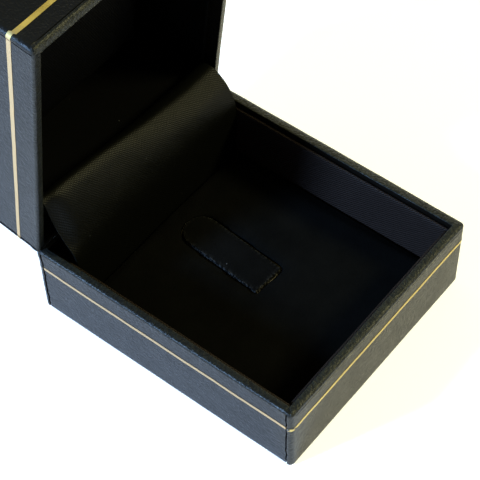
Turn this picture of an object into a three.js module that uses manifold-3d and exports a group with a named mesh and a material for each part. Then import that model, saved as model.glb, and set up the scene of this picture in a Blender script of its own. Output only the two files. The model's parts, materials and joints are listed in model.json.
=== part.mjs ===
// Hinged ring box: a leatherette covered base and lid over thin moulded shells, a velvet ring pad
// with a lift-up tongue, satin linings and a small sprung hinge behind a satin flap.
// Millimetres. +Z up, +Y towards the hinge, +X to the right. The origin is the centre of the
// underside. The lid stands open at its rest angle.
import * as THREE from "three";
import Module from "manifold-3d";
import { mergeVertices } from "three/addons/utils/BufferGeometryUtils.js";

const wasm = await Module();
wasm.setup();

// Overall sizes
const boxWidth = 48;
const boxDepth = 54;
const baseHeight = 15.8;
const lidHeight = 22;
const rimGap = 0.3;
const wallLean = 0.4;
const cornerRadius = 1.3;

// Skins, walls and cards
const wrapThickness = 0.4;
const turnInThickness = 0.35;
const turnInDepth = 3;
const turnUnderWidth = 4.5;
const shellWall = 0.65;
const shellFloor = 0.8;
const liningThickness = 0.7;
const glueLine = 0.05;
const slipGap = 0.15;
const bottomCoverThickness = 0.35;
const bottomCoverInset = 1.6;

// Gold line, measured from the rim of each half
const goldWidth = 0.55;
const goldThickness = 0.12;
const goldProud = 0.02;
const baseGoldFromRim = 4.55;
const lidGoldFromRim = 4.1;

// How far each lining stops short of its rim
const baseLiningDrop = 0.9;
const lidLiningDrop = 2.3;

// Ring pad and tongue
const padFoamThickness = 0.6;
const padBoardThickness = 1;
const padVelvetThickness = 0.8;
const hingeSpace = 6.7;
const tongueWidth = 6.6;
const tongueLength = 19.2;
const tongueTipGap = 3.7;
const tongueOffset = 1.4;
const tongueTurn = THREE.MathUtils.degToRad(-4);
const slotGap = 0.3;

// Lid pad
const lidBoardThickness = 1;
const lidPadThickness = 5.5;

// Hinge
const openAngle = THREE.MathUtils.degToRad(82);
const rimBevel = THREE.MathUtils.degToRad(47.5);
const axisInset = 0.8;
const hingeWidth = 30;
const lidKnuckleWidth = 9.8;
const knuckleGap = 0.3;
const knuckleRadius = 0.75;
const pinRadius = 0.35;
const pinClearance = 0.08;
const leafThickness = 0.5;
const leafLength = 9;
const hingeNotchGap = 0.3;
const rivetRadius = 0.6;
const rivetHeadRadius = 1.25;
const rivetHeadHeight = 0.4;
const rivetSpacing = 20;
const rivetFromRim = 6.2;
const rivetClearance = 0.08;
const rivetHoleLength = 8;
const springWidth = 8;
const springThickness = 0.3;
const springGap = 0.3;
const springTopDrop = 3.2;
const springTail = 2.6;
const springBend = 1.2;

// Hinge flap
const flapThickness = 0.6;
const flapSideGap = 0.3;
const flapCrest = 8;

// Colours
const colours = {
  leatherette: { color: 0x23252b, roughness: 0.5, metalness: 0 },
  gold: { color: 0xc9a24a, roughness: 0.3, metalness: 1 },
  moulding: { color: 0x1a1a1c, roughness: 0.7, metalness: 0 },
  paper: { color: 0x141416, roughness: 0.9, metalness: 0 },
  satin: { color: 0x0d0e10, roughness: 0.45, metalness: 0 },
  velvet: { color: 0x060607, roughness: 1, metalness: 0 },
  card: { color: 0x8a7f6c, roughness: 0.9, metalness: 0 },
  foam: { color: 0x2a2a2c, roughness: 1, metalness: 0 },
  steel: { color: 0x8d9094, roughness: 0.35, metalness: 1 },
};

// Levels and faces that pieces share
const axisY = boxDepth / 2 - axisInset;
const axisZ = baseHeight + rimGap / 2;
const closedHeight = baseHeight + rimGap + lidHeight;
const padBackY = boxDepth / 2 - hingeSpace;
const tongueFoldY = padBackY - tongueTipGap - tongueLength;
const rimWidth = wrapThickness + glueLine + shellWall + glueLine + turnInThickness;
const shellInset = wrapThickness + glueLine;
const shellInnerInset = shellInset + shellWall;
const turnInLean = (wallLean * turnInDepth) / Math.min(baseHeight, lidHeight);
const liningInset = Math.max(rimWidth + turnInLean, shellInnerInset + wallLean) + glueLine;
const liningFaceInset = liningInset + liningThickness;
const leafInset = liningInset + glueLine;
const leafFaceInset = leafInset + leafThickness;
const lidBackLiningInset = leafFaceInset + rivetHeadHeight + slipGap + glueLine;
const pinBore = pinRadius + pinClearance;

// The base and the lid are both trays, drawn with the floor at the bottom and the rim on top.
// The lid is turned over when it is placed.
const base = {
  height: baseHeight,
  skinBottom: bottomCoverThickness + glueLine,
  openFloor: true,
  goldFromRim: baseGoldFromRim,
  liningDrop: baseLiningDrop,
};
const lid = {
  height: lidHeight,
  skinBottom: 0,
  openFloor: false,
  goldFromRim: lidGoldFromRim,
  liningDrop: lidLiningDrop,
};
for (const tray of [base, lid]) {
  tray.shellBottom = tray.skinBottom + wrapThickness + glueLine;
  tray.floorTop = tray.shellBottom + shellFloor;
}

// Booleans

function toSolid(geometry) {
  const bare = geometry.index ? geometry.toNonIndexed() : geometry.clone();
  bare.deleteAttribute("normal");
  bare.deleteAttribute("uv");
  const merged = mergeVertices(bare, 1e-5);
  return new wasm.Manifold(new wasm.Mesh({
    numProp: 3,
    vertProperties: new Float32Array(merged.attributes.position.array),
    triVerts: new Uint32Array(merged.index.array),
  }));
}

function toGeometry(solid) {
  const mesh = solid.getMesh();
  const geometry = new THREE.BufferGeometry();
  geometry.setAttribute("position", new THREE.BufferAttribute(mesh.vertProperties, 3));
  geometry.setIndex(new THREE.BufferAttribute(mesh.triVerts, 1));
  geometry.computeVertexNormals();
  return geometry;
}

function cut(body, ...tools) {
  return tools.reduce((rest, tool) => rest.subtract(tool), body);
}

function join(first, ...others) {
  return others.reduce((sum, other) => sum.add(other), first);
}

// Shapes

function roundedRectangle(width, depth, radius) {
  const x = width / 2;
  const y = depth / 2;
  const r = Math.max(radius, 0.05);
  const shape = new THREE.Shape();
  shape.moveTo(x, y - r);
  shape.absarc(x - r, y - r, r, 0, Math.PI / 2);
  shape.absarc(-x + r, y - r, r, Math.PI / 2, Math.PI);
  shape.absarc(-x + r, -y + r, r, Math.PI, 1.5 * Math.PI);
  shape.absarc(x - r, -y + r, r, 1.5 * Math.PI, 2 * Math.PI);
  return shape;
}

// The tray's outside moved in by inset, from level low to level high. The walls lean in towards
// the floor, so a section is smaller the lower it lies.
function trayBlock(tray, inset, low, high) {
  const shape = roundedRectangle(boxWidth - 2 * inset, boxDepth - 2 * inset, cornerRadius - inset);
  const geometry = new THREE.ExtrudeGeometry(shape, {
    depth: high - low,
    bevelEnabled: false,
    curveSegments: 5,
  });
  geometry.translate(0, 0, low);
  const position = geometry.attributes.position;
  for (let i = 0; i < position.count; i += 1) {
    const lean = wallLean * (1 - position.getZ(i) / tray.height);
    position.setX(i, position.getX(i) - Math.sign(position.getX(i)) * lean);
    position.setY(i, position.getY(i) - Math.sign(position.getY(i)) * lean);
  }
  return toSolid(geometry);
}

function block(x0, x1, y0, y1, z0, z1) {
  const geometry = new THREE.BoxGeometry(x1 - x0, y1 - y0, z1 - z0);
  geometry.translate((x0 + x1) / 2, (y0 + y1) / 2, (z0 + z1) / 2);
  return toSolid(geometry);
}

// A rod along X about the hinge axis of a tray drawn with its rim at the given height.
function rod(radius, x0, x1, height, segments) {
  const geometry = new THREE.CylinderGeometry(radius, radius, x1 - x0, segments);
  geometry.rotateZ(Math.PI / 2);
  geometry.translate((x0 + x1) / 2, axisY, height + rimGap / 2);
  return toSolid(geometry);
}

// A straight bar along X whose section is given as [y, z] points.
function bar(points, width) {
  const shape = new THREE.Shape(points.map(([y, z]) => new THREE.Vector2(y, z)));
  const geometry = new THREE.ExtrudeGeometry(shape, { depth: width, bevelEnabled: false });
  geometry.translate(0, 0, -width / 2);
  geometry.applyMatrix4(new THREE.Matrix4().set(0, 0, 1, 0, 1, 0, 0, 0, 0, 1, 0, 0, 0, 0, 0, 1));
  return toSolid(geometry);
}

// A strip of even thickness that follows a curve of [y, z] points, as a closed outline.
function stripOutline(points, thickness, divisions) {
  const curve = new THREE.CatmullRomCurve3(points.map(([y, z]) => new THREE.Vector3(y, z, 0)));
  const front = [];
  const back = [];
  for (let i = 0; i <= divisions; i += 1) {
    const point = curve.getPointAt(i / divisions);
    const tangent = curve.getTangentAt(i / divisions);
    const normal = new THREE.Vector2(-tangent.y, tangent.x).multiplyScalar(thickness / 2);
    front.push([point.x + normal.x, point.y + normal.y]);
    back.unshift([point.x - normal.x, point.y - normal.y]);
  }
  return [...front, ...back];
}

// Where a point of the closed lid, [y, z], lies once the lid is open.
function openPoint([y, z]) {
  const point = new THREE.Vector2(y - axisY, z - axisZ);
  point.rotateAround(new THREE.Vector2(0, 0), -openAngle);
  return [point.x + axisY, point.y + axisZ];
}

function piece(name, solid, finish) {
  const geometry = solid.isBufferGeometry ? solid : toGeometry(solid);
  const mesh = new THREE.Mesh(geometry, new THREE.MeshStandardMaterial(colours[finish]));
  mesh.name = name;
  return mesh;
}

// Covering and shell

// The back rims are bevelled from the hinge axis outwards, so the halves clear as the lid opens.
function backBevel(tray, inset) {
  const reach = axisInset + 1;
  const drop = reach * Math.tan(rimBevel);
  const z = tray.height - inset;
  const section = [[axisY, z + 1], [axisY, z], [axisY + reach, z - drop], [axisY + reach, z + 1]];
  return bar(section, boxWidth + 2);
}

// Room for the knuckles and their webs across the back wall.
function hingeNotch(tray) {
  const halfWidth = hingeWidth / 2 + hingeNotchGap;
  const bottom = tray.height + rimGap / 2 - knuckleRadius - leafThickness / 2 - hingeNotchGap;
  const front = boxDepth / 2 - liningFaceInset;
  return block(-halfWidth, halfWidth, front, boxDepth, bottom, tray.height + 1);
}

function goldBand(tray, outerInset, innerInset, width) {
  const middle = tray.height - tray.goldFromRim;
  const outer = trayBlock(tray, outerInset, middle - width / 2, middle + width / 2);
  return cut(outer, trayBlock(tray, innerInset, middle - width, middle + width));
}

function wrap(tray) {
  const { height, skinBottom } = tray;
  const turnInFoot = height - turnInDepth;
  const skin = trayBlock(tray, 0, skinBottom, height);
  const behindSkin = trayBlock(tray, wrapThickness, skinBottom + wrapThickness, turnInFoot);
  const shellSlot = cut(
    trayBlock(tray, wrapThickness, turnInFoot - 1, height - wrapThickness),
    trayBlock(tray, rimWidth - turnInThickness, turnInFoot - 2, height),
  );
  const mouth = trayBlock(tray, rimWidth, turnInFoot - 1, height + 1);
  const groove = goldBand(tray, -1, goldThickness + glueLine, goldWidth + 2 * glueLine);
  let solid = cut(skin, behindSkin, shellSlot, mouth, groove, backBevel(tray, 0), hingeNotch(tray));
  if (tray.openFloor) {
    solid = cut(solid, trayBlock(tray, turnUnderWidth, -1, skinBottom + 1));
  }
  return solid;
}

function goldLine(tray) {
  return goldBand(tray, -goldProud, goldThickness - goldProud, goldWidth);
}

function rivetHole(tray, x) {
  const radius = rivetRadius + rivetClearance;
  const geometry = new THREE.CylinderGeometry(radius, radius, rivetHoleLength, 20);
  geometry.translate(x, boxDepth / 2, tray.height - rivetFromRim);
  return toSolid(geometry);
}

function shell(tray, rivetXs) {
  const outer = trayBlock(tray, shellInset, tray.shellBottom, tray.height - shellInset);
  const inner = trayBlock(tray, shellInnerInset, tray.floorTop, tray.height + 1);
  const bevel = backBevel(tray, shellInset);
  return cut(outer, inner, bevel, hingeNotch(tray), ...rivetXs.map((x) => rivetHole(tray, x)));
}

// The sheet under the floor that hides the turned-under edges; the box rests on it.
function bottomCover() {
  const inset = wallLean + bottomCoverInset;
  const shape = roundedRectangle(boxWidth - 2 * inset, boxDepth - 2 * inset, cornerRadius);
  return new THREE.ExtrudeGeometry(shape, {
    depth: bottomCoverThickness,
    bevelEnabled: false,
    curveSegments: 5,
  });
}

// Linings: card strips that stand on the shell's floor inside the walls.

function sideLining(tray, side) {
  const outer = boxWidth / 2 - liningInset;
  const x0 = side < 0 ? -outer : outer - liningThickness;
  const y = boxDepth / 2 - liningInset;
  const z0 = tray.floorTop + glueLine;
  return block(x0, x0 + liningThickness, -y, y, z0, tray.height - tray.liningDrop);
}

function crossLining(tray, outerY) {
  const x = boxWidth / 2 - liningFaceInset - glueLine;
  const z0 = tray.floorTop + glueLine;
  const y0 = outerY < 0 ? outerY : outerY - liningThickness;
  return block(-x, x, y0, y0 + liningThickness, z0, tray.height - tray.liningDrop);
}

// Ring pad: three layers with one slot for the tongue

function tongueOutline(grow) {
  const half = tongueWidth / 2 + grow;
  const end = tongueLength - tongueWidth / 2;
  const shape = new THREE.Shape();
  shape.moveTo(-half, -grow);
  shape.lineTo(half, -grow);
  shape.lineTo(half, end);
  shape.absarc(0, end, half, 0, Math.PI);
  return shape;
}

function tongueSlab(grow, z0, z1) {
  const geometry = new THREE.ExtrudeGeometry(tongueOutline(grow), {
    depth: z1 - z0,
    bevelEnabled: false,
    curveSegments: 14,
  });
  geometry.translate(0, 0, z0);
  return geometry;
}

function padLayer(z0, z1) {
  const x = boxWidth / 2 - liningFaceInset - slipGap;
  const y0 = -boxDepth / 2 + liningFaceInset + slipGap;
  const slot = tongueSlab(slotGap, z0 - 1, z1 + 1);
  slot.rotateZ(tongueTurn);
  slot.translate(tongueOffset, tongueFoldY, 0);
  return cut(block(-x, x, y0, padBackY, z0, z1), toSolid(slot));
}

const padLevels = {};
padLevels.foamLow = base.floorTop + glueLine;
padLevels.foamHigh = padLevels.foamLow + padFoamThickness;
padLevels.boardLow = padLevels.foamHigh + glueLine;
padLevels.boardHigh = padLevels.boardLow + padBoardThickness;
padLevels.velvetLow = padLevels.boardHigh + glueLine;
padLevels.velvetHigh = padLevels.velvetLow + padVelvetThickness;

// Lid pad: a card and a satin cushion that lie between the lid's linings

function lidPadLayer(z0, z1) {
  const x = boxWidth / 2 - liningFaceInset - slipGap;
  const y0 = -boxDepth / 2 + liningFaceInset + slipGap;
  const y1 = boxDepth / 2 - lidBackLiningInset - liningThickness - slipGap;
  return block(-x, x, y0, y1, z0, z1);
}

// Hinge leaves: a plate inside the back wall, with webs out to its knuckles on the axis

function hingeLeaf(tray, knuckles, rivetXs, topDrop) {
  const outerY = boxDepth / 2 - leafInset;
  const innerY = outerY - leafThickness;
  const axisHeight = tray.height + rimGap / 2;
  const webTop = axisHeight - knuckleRadius + leafThickness / 2;
  const webBottom = webTop - leafThickness;
  const foot = webTop - leafLength;
  let solid = block(-hingeWidth / 2, hingeWidth / 2, innerY, outerY, foot, webBottom - topDrop);
  for (const [x0, x1] of knuckles) {
    const upright = block(x0, x1, innerY, outerY, webBottom - topDrop - 0.5, webTop);
    const web = block(x0, x1, innerY, axisY, webBottom, webTop);
    solid = join(solid, upright, web, rod(knuckleRadius, x0, x1, tray.height, 24));
  }
  for (const [x0, x1] of knuckles) {
    solid = cut(solid, rod(pinBore, x0 - 1, x1 + 1, tray.height, 24));
  }
  return cut(solid, ...rivetXs.map((x) => rivetHole(tray, x)));
}

function hingePin() {
  return rod(pinRadius, -hingeWidth / 2, hingeWidth / 2, baseHeight, 24);
}

// A rivet along Y: a domed head on the seat face and a shank that ends inside the shell's wall.
function rivet(tray, x, seatY) {
  const z = tray.height - rivetFromRim;
  const wallFace = boxDepth / 2 - shellInset - wallLean * (rivetFromRim / tray.height);
  const head = new THREE.Path();
  head.moveTo(0, -rivetHeadHeight);
  head.quadraticCurveTo(rivetHeadRadius, -rivetHeadHeight, rivetHeadRadius, 0);
  head.lineTo(rivetRadius, 0);
  head.lineTo(rivetRadius, wallFace - glueLine - seatY);
  head.lineTo(0, wallFace - glueLine - seatY);
  const geometry = new THREE.LatheGeometry(head.getPoints(6), 24);
  geometry.translate(x, seatY, z);
  return toSolid(geometry);
}

// Leaf spring: flat against the lower leaf, its tip bent out towards the lid's knuckle.
function snapSpring() {
  const leafFace = boxDepth / 2 - leafFaceInset;
  const y = leafFace - glueLine - springThickness / 2;
  const rivetZ = baseHeight - rivetFromRim;
  const reach = knuckleRadius + springGap + springThickness / 2;
  const tip = [axisY - reach * Math.SQRT1_2, axisZ - reach * Math.SQRT1_2];
  const outline = stripOutline([
    [y, rivetZ - springTail],
    [y, rivetZ],
    [y, rivetZ + springTail],
    [y + glueLine, tip[1] - springBend],
    tip,
  ], springThickness, 16);
  return cut(bar(outline, springWidth), rivetHole(base, 0));
}

// Hinge flap: a satin covered card that rises behind the ring pad, bulges over the hinge and
// tucks down onto the lid's back lining. Its foot keeps to the pad, its crest to the hinge axis.
function hingeFlap() {
  const footY = padBackY + slipGap + flapThickness / 2;
  const footZ = base.floorTop + slipGap;
  const crestZ = axisZ + flapCrest;
  const liningFace = boxDepth / 2 - lidBackLiningInset - liningThickness;
  const rimZ = baseHeight + rimGap;
  const end = openPoint([liningFace - slipGap - flapThickness, rimZ + lidLiningDrop + 0.6]);
  const outline = stripOutline([
    [footY, footZ],
    [footY, axisZ - 6.5],
    [footY + 0.1, axisZ - 0.6],
    [footY + 1.7, axisZ + 3.9],
    [axisY - 1.8, crestZ - 1.1],
    [axisY + 0.3, crestZ - 0.3],
    [axisY + 1.8, crestZ - 1.3],
    end,
  ], flapThickness, 30);
  const width = boxWidth - 2 * liningFaceInset - 2 * flapSideGap;
  return bar(outline, width);
}

// Assembly

const spacing = rivetSpacing / 2;
const half = hingeWidth / 2;
const lidHalf = lidKnuckleWidth / 2;
const baseKnuckles = [
  [-half, -lidHalf - knuckleGap],
  [lidHalf + knuckleGap, half],
];
const leafSeat = boxDepth / 2 - leafFaceInset;
const springSeat = leafSeat - 2 * glueLine - springThickness;
const frontLiningY = -boxDepth / 2 + liningInset;

const baseGroup = new THREE.Group();
baseGroup.add(
  piece("base_shell", shell(base, [-spacing, 0, spacing]), "moulding"),
  piece("base_wrap", wrap(base), "leatherette"),
  piece("base_gold_line", goldLine(base), "gold"),
  piece("base_bottom_cover", bottomCover(), "paper"),
  piece("base_lining_left", sideLining(base, -1), "satin"),
  piece("base_lining_right", sideLining(base, 1), "satin"),
  piece("base_lining_front", crossLining(base, frontLiningY), "satin"),
  piece("pad_foam", padLayer(padLevels.foamLow, padLevels.foamHigh), "foam"),
  piece("pad_board", padLayer(padLevels.boardLow, padLevels.boardHigh), "card"),
  piece("pad_velvet", padLayer(padLevels.velvetLow, padLevels.velvetHigh), "velvet"),
  piece("hinge_leaf_base", hingeLeaf(base, baseKnuckles, [-spacing, 0, spacing], springTopDrop), "steel"),
  piece("hinge_pin", hingePin(), "steel"),
  piece("rivet_base_left", rivet(base, -spacing, leafSeat - glueLine), "steel"),
  piece("rivet_base_right", rivet(base, spacing, leafSeat - glueLine), "steel"),
  piece("snap_spring", snapSpring(), "steel"),
  piece("rivet_spring", rivet(base, 0, springSeat), "steel"),
  piece("hinge_flap", hingeFlap(), "satin"),
);

const tongueGroup = new THREE.Group();
tongueGroup.position.set(tongueOffset, tongueFoldY, 0);
tongueGroup.rotation.z = tongueTurn;
tongueGroup.add(
  piece("tongue_card", tongueSlab(0, padLevels.boardLow, padLevels.boardHigh), "card"),
  piece("tongue_velvet", tongueSlab(0, padLevels.velvetLow, padLevels.velvetHigh), "velvet"),
);

// The lid is drawn as a tray, turned over onto the base and then swung open about the hinge axis.
const lidBoardLow = lid.floorTop + glueLine;
const lidPadLow = lidBoardLow + lidBoardThickness + glueLine;
const lidBackLiningY = boxDepth / 2 - lidBackLiningInset;
const lidClosed = new THREE.Group();
lidClosed.rotation.y = Math.PI;
lidClosed.position.set(0, -axisY, closedHeight - axisZ);
lidClosed.add(
  piece("lid_shell", shell(lid, [-spacing, spacing]), "moulding"),
  piece("lid_wrap", wrap(lid), "leatherette"),
  piece("lid_gold_line", goldLine(lid), "gold"),
  piece("lid_lining_left", sideLining(lid, 1), "satin"),
  piece("lid_lining_right", sideLining(lid, -1), "satin"),
  piece("lid_lining_front", crossLining(lid, frontLiningY), "satin"),
  piece("lid_lining_back", crossLining(lid, lidBackLiningY), "satin"),
  piece("lid_pad_board", lidPadLayer(lidBoardLow, lidBoardLow + lidBoardThickness), "card"),
  piece("lid_pad", lidPadLayer(lidPadLow, lidPadLow + lidPadThickness), "satin"),
  piece("hinge_leaf_lid", hingeLeaf(lid, [[-lidHalf, lidHalf]], [-spacing, spacing], 0), "steel"),
  piece("rivet_lid_left", rivet(lid, spacing, leafSeat - glueLine), "steel"),
  piece("rivet_lid_right", rivet(lid, -spacing, leafSeat - glueLine), "steel"),
);

const lidSwing = new THREE.Group();
lidSwing.position.set(0, axisY, axisZ);
lidSwing.rotation.x = -openAngle;
lidSwing.add(lidClosed);

const ringBox = new THREE.Group();
ringBox.add(baseGroup, tongueGroup, lidSwing);

export default ringBox;
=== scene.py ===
import json
import math

import bmesh
import bpy
from mathutils import Matrix, Vector, noise


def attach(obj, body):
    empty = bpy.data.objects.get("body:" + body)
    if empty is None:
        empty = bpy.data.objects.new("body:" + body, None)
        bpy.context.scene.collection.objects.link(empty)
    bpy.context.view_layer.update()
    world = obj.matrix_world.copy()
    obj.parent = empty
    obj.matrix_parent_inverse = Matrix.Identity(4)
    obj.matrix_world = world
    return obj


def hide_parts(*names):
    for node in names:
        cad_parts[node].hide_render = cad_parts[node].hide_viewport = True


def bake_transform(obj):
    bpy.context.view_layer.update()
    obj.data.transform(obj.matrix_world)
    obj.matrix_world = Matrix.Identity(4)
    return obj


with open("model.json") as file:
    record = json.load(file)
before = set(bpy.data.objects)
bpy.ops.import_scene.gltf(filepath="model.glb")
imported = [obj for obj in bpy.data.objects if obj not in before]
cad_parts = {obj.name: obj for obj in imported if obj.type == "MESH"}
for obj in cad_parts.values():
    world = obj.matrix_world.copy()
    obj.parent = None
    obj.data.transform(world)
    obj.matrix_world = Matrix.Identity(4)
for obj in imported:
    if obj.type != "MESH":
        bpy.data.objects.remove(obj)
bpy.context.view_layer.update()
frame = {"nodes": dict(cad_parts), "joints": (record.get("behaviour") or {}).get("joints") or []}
scene = bpy.context.scene
print("frame loaded:", len(frame["nodes"]), "nodes")

# Shapes are modelled in millimetres and brought to metres when a piece is finished.
toMetres = Matrix.Scale(0.001, 4)
toMillimetres = Matrix.Scale(1000, 4)


def nodeBox(node, place=Matrix.Identity(4)):
    # lowest and highest corner of a node in millimetres, in the frame that place starts from
    back = toMillimetres @ place.inverted()
    points = [back @ v.co for v in frame["nodes"][node].data.vertices]
    low = Vector([min(p[i] for p in points) for i in range(3)])
    high = Vector([max(p[i] for p in points) for i in range(3)])
    return low, high


# The lid is drawn as a tray with its floor down, turned over onto the base and swung open.
hinge = {"openAngle": math.radians(82), "rimGap": 0.3, "lidHeight": 22.0}
hingeJoint = next(j for j in frame["joints"] if j["name"] == "lid_hinge")
hingeAxis = Vector(hingeJoint["pos_m"])
baseLow, baseHigh = nodeBox("base_wrap")
closedHeight = baseHigh.z + hinge["rimGap"] + hinge["lidHeight"]
basePlace = Matrix.Identity(4)
lidPlace = (
    Matrix.Translation(hingeAxis)
    @ Matrix.Rotation(-hinge["openAngle"], 4, "X")
    @ Matrix.Translation(-hingeAxis)
    @ Matrix.Translation((0, 0, closedHeight / 1000))
    @ Matrix.Rotation(math.pi, 4, "Y")
)
# "right" is the way to the box's right hand wall along the tray's own x.
trays = {
    "base": {"body": "base", "place": basePlace, "height": baseHigh.z, "goldFromRim": 4.55,
             "floorLow": baseLow.z, "openFloor": True, "right": 1, "goldGrowth": 1.0, "goldRise": 0.27},
    "lid": {"body": "lid", "place": lidPlace, "height": hinge["lidHeight"], "goldFromRim": 4.1,
            "floorLow": 0.0, "openFloor": False, "right": -1, "goldGrowth": 1.75, "goldRise": -0.28},
}
boxHalf = Vector((baseHigh.x, baseHigh.y))


# Mesh tools

def cubeBetween(low, high):
    bm = bmesh.new()
    middle = (Vector(low) + Vector(high)) / 2
    size = Vector(high) - Vector(low)
    place = Matrix.Translation(middle) @ Matrix.Diagonal((*size, 1))
    bmesh.ops.create_cube(bm, size=1, matrix=place)
    return bm


def roundEdges(bm, edges, radius, segments):
    return bmesh.ops.bevel(
        bm, geom=edges, offset=radius, segments=segments, profile=0.5,
        affect="EDGES", material=-1, clamp_overlap=True,
    )


def cutAcross(bm, axis, places):
    # loop cuts square to an axis
    normal = Vector([1 if i == axis else 0 for i in range(3)])
    for place in places:
        geom = bm.verts[:] + bm.edges[:] + bm.faces[:]
        bmesh.ops.bisect_plane(
            bm, geom=geom, dist=1e-4, plane_co=normal * place, plane_no=normal
        )


def evenSteps(low, high, step):
    count = max(1, round((high - low) / step))
    return [low + (high - low) * i / count for i in range(1, count)]


def mapCloth(bm, turn=0.0):
    # a cloth map in millimetres, laid flat on each side of the piece
    layer = bm.loops.layers.uv.new("cloth")
    bm.normal_update()
    cosTurn, sinTurn = math.cos(turn), math.sin(turn)
    for face in bm.faces:
        size = [abs(n) for n in face.normal]
        axis = size.index(max(size))
        for loop in face.loops:
            x, y, z = loop.vert.co
            u, v = ((y, z), (x, z), (x, y))[axis]
            loop[layer].uv = (u * cosTurn - v * sinTurn, u * sinTurn + v * cosTurn)


def swell(point, size, seed):
    # smooth seeded wandering, from about -1 to 1
    return noise.noise(Vector(point) / size + Vector((seed, seed * 1.7, -seed)))


def fade(distance, reach):
    # 1 at no distance, falling evenly to 0 at reach
    return max(0.0, 1 - distance / reach)


def relax(bm, times):
    for _ in range(times):
        bmesh.ops.smooth_vert(
            bm, verts=bm.verts[:], factor=0.5, use_axis_x=True, use_axis_y=True, use_axis_z=True
        )


def keepInside(bm, low, high):
    # the sides and the underside stay within the space the piece has
    for v in bm.verts:
        v.co.x = max(low.x, min(high.x, v.co.x))
        v.co.y = max(low.y, min(high.y, v.co.y))
        v.co.z = max(low.z, v.co.z)


def moveTo(places):
    for v, co in places:
        v.co = co


def addObject(name, data):
    obj = bpy.data.objects.new(name, data)
    scene.collection.objects.link(obj)
    return obj


def meshFrom(name, bm):
    # turns a bmesh into a mesh and frees it
    mesh = bpy.data.meshes.new(name)
    bm.to_mesh(mesh)
    bm.free()
    return mesh


def applyModifiers(obj):
    bpy.context.view_layer.update()
    shaped = obj.evaluated_get(bpy.context.evaluated_depsgraph_get())
    mesh = bpy.data.meshes.new_from_object(shaped)
    obj.modifiers.clear()
    obj.data = mesh
    return obj


def finishPiece(name, bm, material, body, replaced=(), place=basePlace, wall=0.0,
                sharp=38, subdivide=0):
    bm.transform(place @ toMetres)
    obj = addObject(name, meshFrom(name, bm))
    obj.data.materials.append(material)
    if wall:
        thickness = obj.modifiers.new("wall", "SOLIDIFY")
        thickness.thickness = wall / 1000
        thickness.offset = -1
        thickness.use_rim = True
        thickness.use_even_offset = False
        applyModifiers(obj)
    if subdivide:
        rounding = obj.modifiers.new("rounding", "SUBSURF")
        rounding.levels = subdivide
        rounding.render_levels = subdivide
        applyModifiers(obj)
    obj.data.name = name
    obj.data.shade_smooth()
    obj.data.set_sharp_from_angle(angle=math.radians(sharp))
    if body:
        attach(obj, body)
    for node in replaced:
        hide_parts(node)
    return obj


# Shader tools

def addNode(tree, kind, inputs=None, **settings):
    node = tree.nodes.new(kind)
    for name, value in settings.items():
        setattr(node, name, value)
    for name, value in (inputs or {}).items():
        setInput(tree, node.inputs[name], value)
    return node


def setInput(tree, socket, value):
    if isinstance(value, bpy.types.NodeSocket):
        tree.links.new(value, socket)
    else:
        socket.default_value = value


def compute(tree, operation, *values, clamp=False):
    node = addNode(tree, "ShaderNodeMath", operation=operation, use_clamp=clamp)
    for i, value in enumerate(values):
        setInput(tree, node.inputs[i], value)
    return node.outputs[0]


def ramp(tree, value, low, high, outLow=0.0, outHigh=1.0):
    node = addNode(tree, "ShaderNodeMapRange", interpolation_type="SMOOTHSTEP")
    for name, item in (("Value", value), ("From Min", low), ("From Max", high),
                       ("To Min", outLow), ("To Max", outHigh)):
        setInput(tree, node.inputs[name], item)
    return node.outputs["Result"]


def blendColours(tree, factor, first, second):
    node = addNode(tree, "ShaderNodeMix", data_type="RGBA")
    setInput(tree, node.inputs[0], factor)
    for socket, value in ((node.inputs[6], first), (node.inputs[7], second)):
        setInput(tree, socket, value if isinstance(value, bpy.types.NodeSocket) else (*value, 1))
    return node.outputs[2]


def blendValues(tree, factor, first, second):
    node = addNode(tree, "ShaderNodeMix", data_type="FLOAT")
    for i, value in enumerate((factor, first, second)):
        setInput(tree, node.inputs[i if i == 0 else i + 1], value)
    return node.outputs[0]


def weigh(tree, first, share, second, otherShare):
    # the sum of two values, each taken by its share
    rest = compute(tree, "MULTIPLY", second, otherShare)
    return compute(tree, "MULTIPLY_ADD", first, share, rest)


def noiseOf(tree, vector, scale, detail=3.0, roughness=0.55, stretch=None):
    if stretch:
        mapping = addNode(tree, "ShaderNodeMapping", {"Vector": vector, "Scale": stretch})
        vector = mapping.outputs[0]
    node = addNode(tree, "ShaderNodeTexNoise", {
        "Vector": vector, "Scale": scale, "Detail": detail, "Roughness": roughness,
    })
    return node.outputs["Fac"]


def newGroup(name, numbers, outputs):
    # a group that takes a place and some numbers, and gives values
    group = bpy.data.node_groups.new(name, "ShaderNodeTree")
    group.interface.new_socket("Vector", in_out="INPUT", socket_type="NodeSocketVector")
    for label, value in numbers.items():
        socket = group.interface.new_socket(label, in_out="INPUT", socket_type="NodeSocketFloat")
        socket.default_value = value
    for label in outputs:
        group.interface.new_socket(label, in_out="OUTPUT", socket_type="NodeSocketFloat")
    entry = group.nodes.new("NodeGroupInput").outputs
    leave = group.nodes.new("NodeGroupOutput").inputs
    return group, entry, leave


def give(group, leave, **values):
    for name, value in values.items():
        setInput(group, leave[name], value)
    return group


def useGroup(tree, group, inputs):
    node = addNode(tree, "ShaderNodeGroup", node_tree=group)
    for name, value in inputs.items():
        setInput(tree, node.inputs[name], value)
    return node.outputs


# Shared effects

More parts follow.
